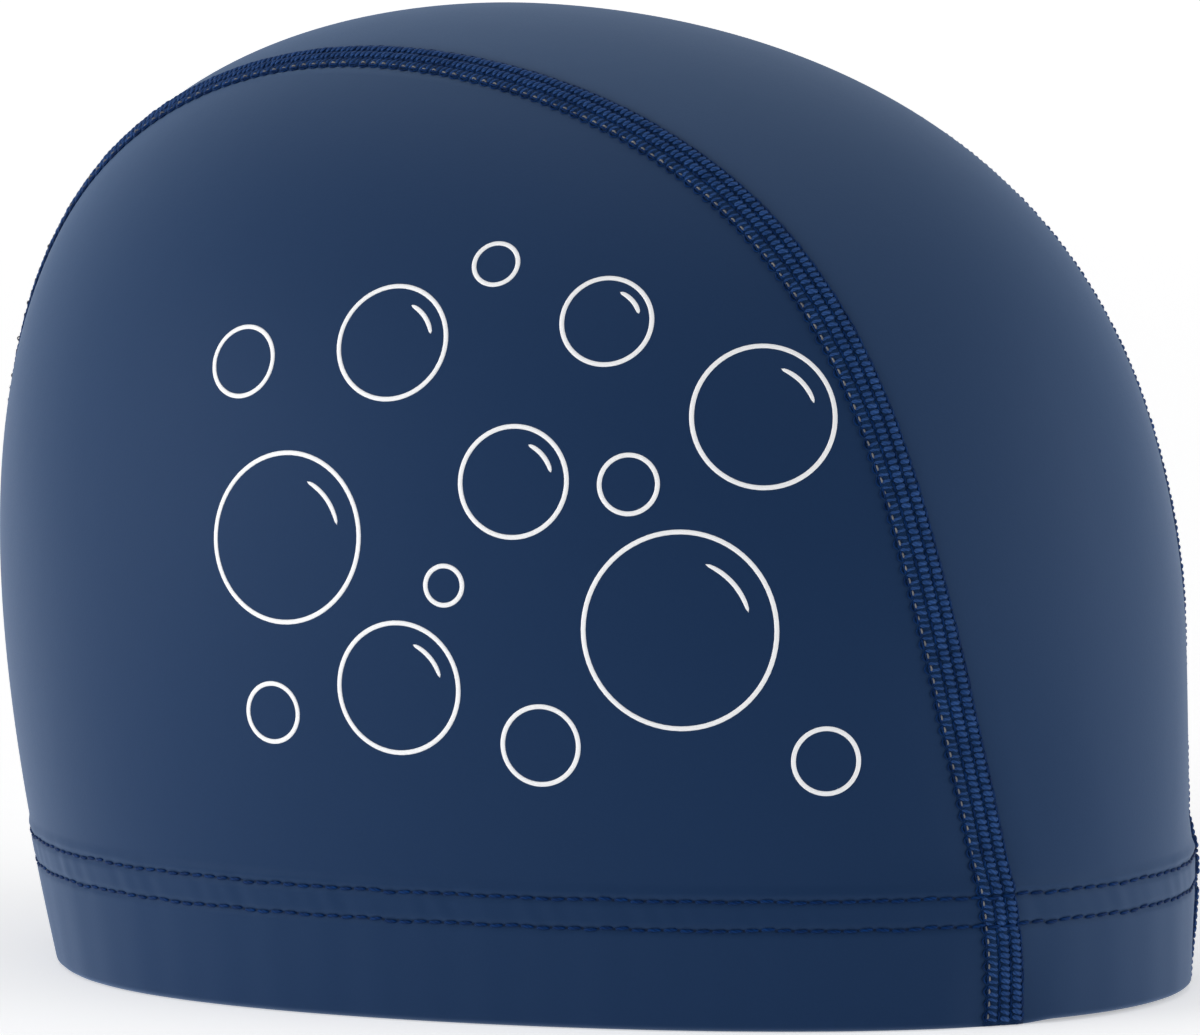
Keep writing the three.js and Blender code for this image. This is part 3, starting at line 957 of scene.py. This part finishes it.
# %% [markdown]
# ## The print
# Swim caps are often printed on one side with a line drawing. This one shows bubbles that rise
# from the hem, as rings of different sizes, with a glint in the larger ones. Screen print is a thin
# film that lies on the cloth, so it is a film here too, a tenth of a millimetre thick. The panel is
# printed flat, before it is sewn, so a bubble stays round on the cloth. Each is therefore drawn in
# the plane that touches the cap at its middle, and then moved onto the cap.

# %% Bubbles on the wearer's right
LINE = 0.75 * MM
FILM = 0.1 * MM


def printed_lines(paths, ring=False):
    """Flat lines from rows of points near the cap, moved onto it at their own height and angle. A
    line's section is a low ellipse, half sunk in the cloth."""
    points = on_ring(paths[..., 2], angle_of(paths))
    out = outward(points)
    points = points + out * seam_relief(points)[..., None]
    return threads(points, out, LINE, 2 * FILM, sides=8, ring=ring)


def arcs(bubbles, low, high, share, steps):
    """A part of each bubble's circle, between two angles in degrees. The circle lies in the plane
    that touches the cap at the bubble's middle: one way along is level, the other is uphill."""
    forward, height, radius = np.array(bubbles).T
    middle = on_ring(height * MM, np.pi + np.radians(forward))
    out = outward(middle)
    level = unit(np.cross(out, [0, 0, 1]))
    uphill = np.cross(level, out)
    turn = np.radians(np.linspace(low, high, steps))[:, None]
    reach = share * radius[:, None, None] * MM
    circle = np.cos(turn) * level[:, None] + np.sin(turn) * uphill[:, None]
    return middle[:, None] + reach * circle


# Each bubble: degrees from the right ear towards the forehead, height and radius in millimetres.
BUBBLES = [(38, 62, 15), (14, 52, 10), (3, 74, 13), (24, 84, 8.5), (47, 94, 11), (12, 104, 9)]
BUBBLES += [(33, 108, 7), (50, 42, 5), (26, 44, 6), (-4, 100, 5.5), (34, 84, 4.5), (2, 47, 4.5)]
BUBBLES += [(22, 116, 3.5), (18, 68, 3)]
print("Bubbles:", len(BUBBLES))

printed = [printed_lines(arcs(BUBBLES, -5, 365, 1, 75), ring=True)]
printed.append(printed_lines(arcs([b for b in BUBBLES if b[2] > 6], 110, 165, 0.72, 17)))
points, faces, marks = joined(*printed)
ink = Recipe("white_ink")
tone = ink.blend(ink.noise(900.0), (0.84, 0.85, 0.87), (0.9, 0.9, 0.91))
film = ink.bump(ink.noise(2600.0), 0.02 * MM)
INK_FINISH = ink.finish(Base_Color=tone, Roughness=0.6, Normal=film)
new_piece("print_bubbles", "print", INK_FINISH, points, faces, **marks)

# %% [markdown]
# ## How the cloth is cut
# Each panel is cut flat and somewhat small, because the cap has to grip, and the head stretches it.
# Here the cut is worked out backwards from the cap: the longest row and the longest column of a
# panel, with the cloth that is turned up inside the hem, all made smaller by the stretch.

# %% Flat sizes of the panels
STRETCH = 1.05  # how much longer the cloth is on the head than flat


def lengths(points, axis):
    """The lengths of the lines that rows of points make along one axis."""
    return np.linalg.norm(np.diff(points, axis=axis), axis=-1).sum(axis=axis)


def widest_level():
    """The longest way round a side panel at one height, from seam to seam."""
    z = np.linspace(0, 60, 61) * MM
    front, back = end_angles(beside_seam(CUT), z)
    angles = front + (back - front) * np.linspace(0, 1, 401)[:, None]
    return lengths(on_ring(z, angles), 0).max()


def cut_flat(name, loops, hems):
    """Work out and print the flat size and area of a panel of stretched cloth. Its loops run down
    the outer face and up the inner one, so their first half gives its lengths, and half its surface
    is its area on the cap."""
    panel = bpy.data.objects[name]
    face = loops[:, : loops.shape[1] // 2]
    rows, columns = lengths(face, 0), lengths(face, 1)
    width = rows.max() if hems == 2 else widest_level()
    flat = [width / STRETCH, (columns.max() + hems * HEM_HEIGHT) / STRETCH]
    surface = sum(face.area for face in panel.data.polygons)
    area = (surface / 2 + hems * rows[-1] * HEM_HEIGHT) / STRETCH**2
    flat, area = [float(size) for size in flat], float(area)
    print(f"{name}: cut from {[round(size / MM) for size in flat]} mm, {area:.4f} square metres")


sewn = [piece.name for piece in bpy.data.objects if piece.name.startswith(("seam_", "hem_"))]
sewn = [name for name in sewn if name not in frame["nodes"]]
cut_flat("side_cloth_left", side_points, hems=1)
cut_flat("side_cloth_right", side_points, hems=1)
cut_flat("centre_cloth", centre_points, hems=2)

# %% [markdown]
# ## Floor, light and camera
# The cap stands on a plain white floor that glows a little, as paper does over a light table, so
# that it lights the hem from below and throws almost no shadow. Satin cloth shows its form by
# broad, soft highlights, so the lamps are large: one at the left, one at the right, both almost
# square to the view, and a weak one above. They brighten its edges and leave its middle dark.

# %% The floor
ROOM = 6.0
NEAR, FAR = 0.15, 1.6  # between these distances from the cap the glow of the floor grows
NEAR_GLOW, FAR_GLOW = 0.42, 0.7


def studio_floor():
    """A wide flat sheet of white paper that glows."""
    paper = Recipe("studio_paper")
    tint = paper.blend(paper.noise(3.0), (0.86, 0.86, 0.87), (0.88, 0.88, 0.88))
    place = paper.node("VectorMath", output="Value", inputs={0: paper.object}, operation="LENGTH")
    ends = {1: NEAR, 2: FAR, 3: NEAR_GLOW, 4: FAR_GLOW}
    glow = paper.node("MapRange", inputs={"Value": place, **ends})
    material = paper.finish(
        Base_Color=tint, Roughness=0.9, Emission_Color=(1, 1, 1, 1), Emission_Strength=glow
    )
    mesh = bpy.data.meshes.new("studio_floor")
    corners = [(-ROOM, -ROOM, 0), (ROOM, -ROOM, 0), (ROOM, ROOM, 0), (-ROOM, ROOM, 0)]
    mesh.from_pydata(corners, [], [(0, 1, 2, 3)])
    mesh.materials.append(material)
    floor = bpy.data.objects.new("studio_floor", mesh)
    bpy.context.scene.collection.objects.link(floor)


studio_floor()

# %% The white room and the lamps
AIM = Vector((0, 0, CAP_HEIGHT / 2))
VIEW_AZIMUTH, VIEW_ELEVATION = -57, 7


def seen_from(azimuth, elevation):
    """The direction from the cap to something at that azimuth and elevation, in degrees. Azimuth
    0 is straight before the forehead, and 90 is the left ear's side."""
    a, e = math.radians(azimuth), math.radians(elevation)
    return Vector((math.sin(a) * math.cos(e), -math.cos(a) * math.cos(e), math.sin(e)))


def soft_lamp(name, azimuth, elevation, distance, size, power):
    """A square area lamp that faces the cap."""
    lamp = bpy.data.lights.new(name, "AREA")
    lamp.shape, lamp.size, lamp.energy = "SQUARE", size, power
    holder = bpy.data.objects.new(name, lamp)
    direction = seen_from(azimuth, elevation)
    holder.location = AIM + direction * distance
    holder.rotation_euler = direction.to_track_quat("Z", "Y").to_euler()
    bpy.context.scene.collection.objects.link(holder)


world = bpy.data.worlds.new("white_room")
world.use_nodes = True
world.node_tree.nodes["Background"].inputs["Color"].default_value = (1, 1, 1, 1)
world.node_tree.nodes["Background"].inputs["Strength"].default_value = 0.35
bpy.context.scene.world = world
soft_lamp("lamp_left", azimuth=-129, elevation=5, distance=1.2, size=1.1, power=14.5)
soft_lamp("lamp_right", azimuth=22, elevation=5, distance=1.2, size=1.1, power=8.8)
soft_lamp("lamp_above", azimuth=-57, elevation=85, distance=1.2, size=1.1, power=2)
bpy.context.scene.view_settings.view_transform = "Standard"

# %% The camera
IMAGE_WIDTH, IMAGE_HEIGHT = 1200, 1035
VIEW_ROLL = -0.42
VIEW_DISTANCE = 2.522
PIXELS_PER_METRE = 6355  # at the middle of the cap
AIM_PIXEL = (518.35, 479.59)  # where the middle of the widest ring, at half height, shows

camera_data = bpy.data.cameras.new("camera")
camera_data.sensor_width = 36
camera_data.lens = 36 * PIXELS_PER_METRE * VIEW_DISTANCE / IMAGE_WIDTH
camera = bpy.data.objects.new("camera", camera_data)
back = seen_from(VIEW_AZIMUTH, VIEW_ELEVATION)
right = Vector((0, 0, 1)).cross(back).normalized()
up = back.cross(right)
roll = math.radians(VIEW_ROLL)
cosine, sine = math.cos(roll), math.sin(roll)
right, up = cosine * right + sine * up, cosine * up - sine * right
off_right = (IMAGE_WIDTH / 2 - AIM_PIXEL[0]) / PIXELS_PER_METRE
off_down = (IMAGE_HEIGHT / 2 - AIM_PIXEL[1]) / PIXELS_PER_METRE
place = Vector((0, float(Y_SHIFT), CAP_HEIGHT / 2)) + back * VIEW_DISTANCE
place += right * off_right - up * off_down
turned = Matrix((right, up, back)).transposed().to_4x4()
camera.matrix_world = Matrix.Translation(place) @ turned
bpy.context.scene.collection.objects.link(camera)
bpy.context.scene.camera = camera
print("Lens:", round(camera_data.lens), "mm, camera height:", round(place.z, 3), "m")
